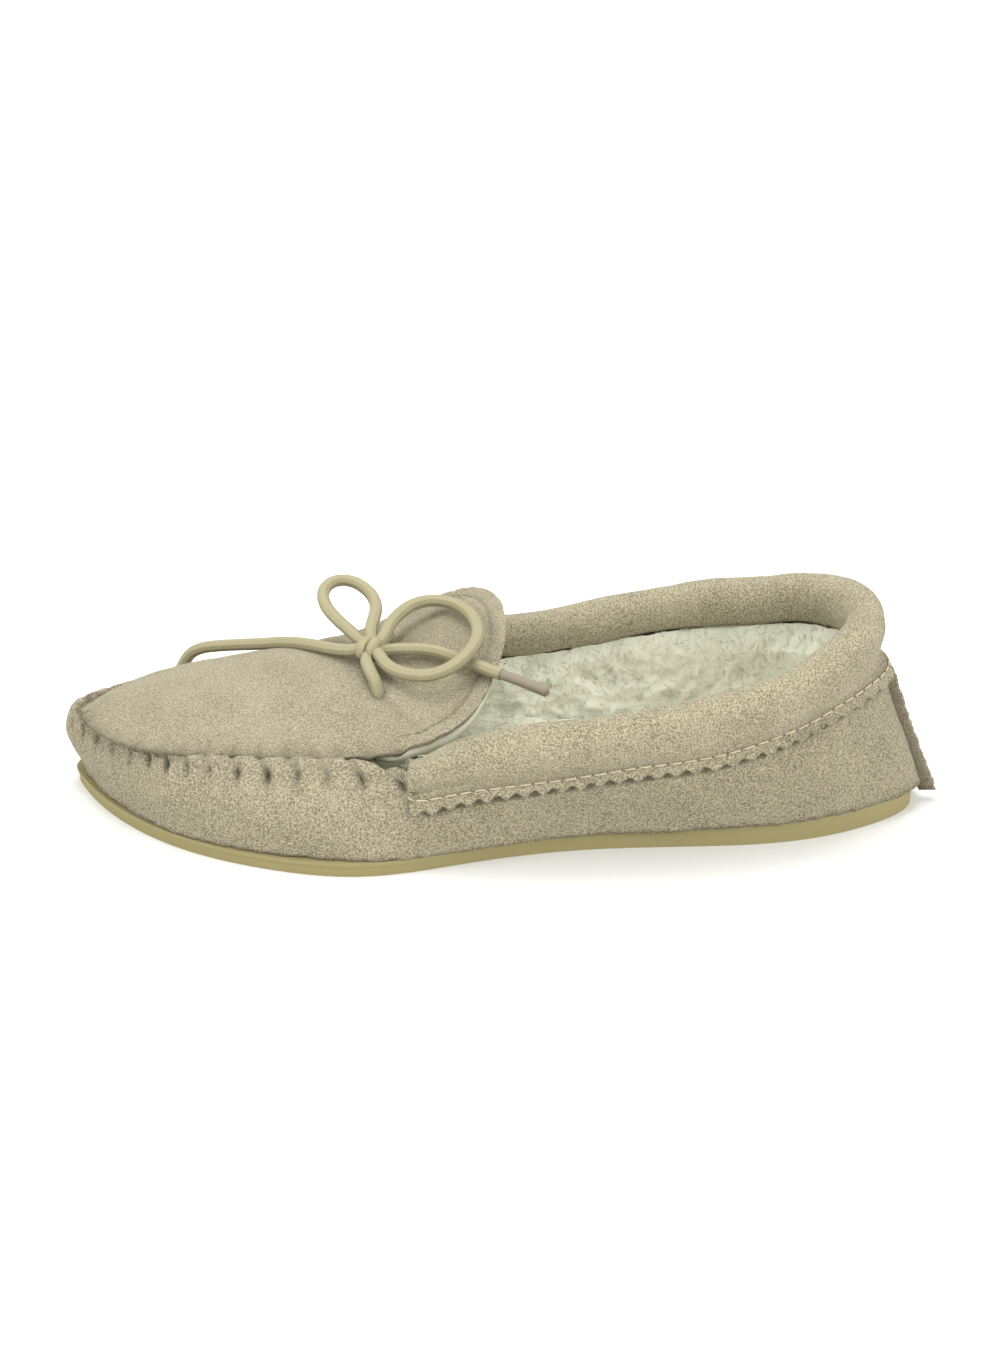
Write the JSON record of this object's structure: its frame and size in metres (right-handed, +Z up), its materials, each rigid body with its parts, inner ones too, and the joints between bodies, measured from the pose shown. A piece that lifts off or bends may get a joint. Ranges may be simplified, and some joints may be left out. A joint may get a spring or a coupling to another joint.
{
  "type": "moccasin slipper",
  "caption": "Wool-lined suede moccasin slipper with a gathered toe seam, arched apron and tongue, padded roll collar with pinked cuff, tied lace bow and a thin flat sole.",
  "frame": {"origin": "on the ground, on the sole's underside, under the middle of the slipper", "axes": "+X from the toe to the heel, -Y towards the outer side of this left slipper, +Z up"},
  "size_m": [0.289, 0.099, 0.0725],
  "materials": {
    "suede": "napped, matt, sand coloured",
    "wool_pile": "tufted cream pile",
    "foam": "open-cell foam, hidden",
    "thread": "waxed thread",
    "lace_braid": "round braided cord, khaki",
    "lace_tip": "stiffened dark tip",
    "sole_rubber": "smooth moulded, satin"
  },
  "bodies": {
    "shoe": {"outsole": "sole_rubber", "suede_wrap": "suede", "collar_cuff": "suede", "heel_seam_fin": "suede", "apron": "suede", "side_lining": "wool_pile", "insole_pile": "wool_pile", "apron_lining": "wool_pile", "insole_cushion": "foam", "collar_filling": "foam", "apron_stitching": "thread", "cuff_stitching": "thread", "lace_near_strand": "lace_braid", "lace_far_strand": "lace_braid", "lace_under_strand": "lace_braid", "lace_front_loop": "lace_braid", "lace_front_end": "lace_braid", "lace_rear_loop_start": "lace_braid", "lace_rear_loop_return": "lace_braid", "lace_rear_end_start": "lace_braid", "lace_knot": "lace_braid", "lace_front_tip": "lace_tip"},
    "tongue": {"tongue": "suede", "tongue_lining": "wool_pile", "tongue_stitching": "thread", "lace_rear_loop": "lace_braid", "lace_rear_end": "lace_braid", "lace_rear_tip": "lace_tip"}
  },
  "joints": [
    {"name": "tongue_lift", "type": "hinge", "parent": "shoe", "child": "tongue", "pos_m": [-0.032, 0, 0.056], "axis": [0, -0.9585, -0.2851], "range_deg": [-3, 45], "stiffness_Nm_per_rad": 0.15}
  ]
}
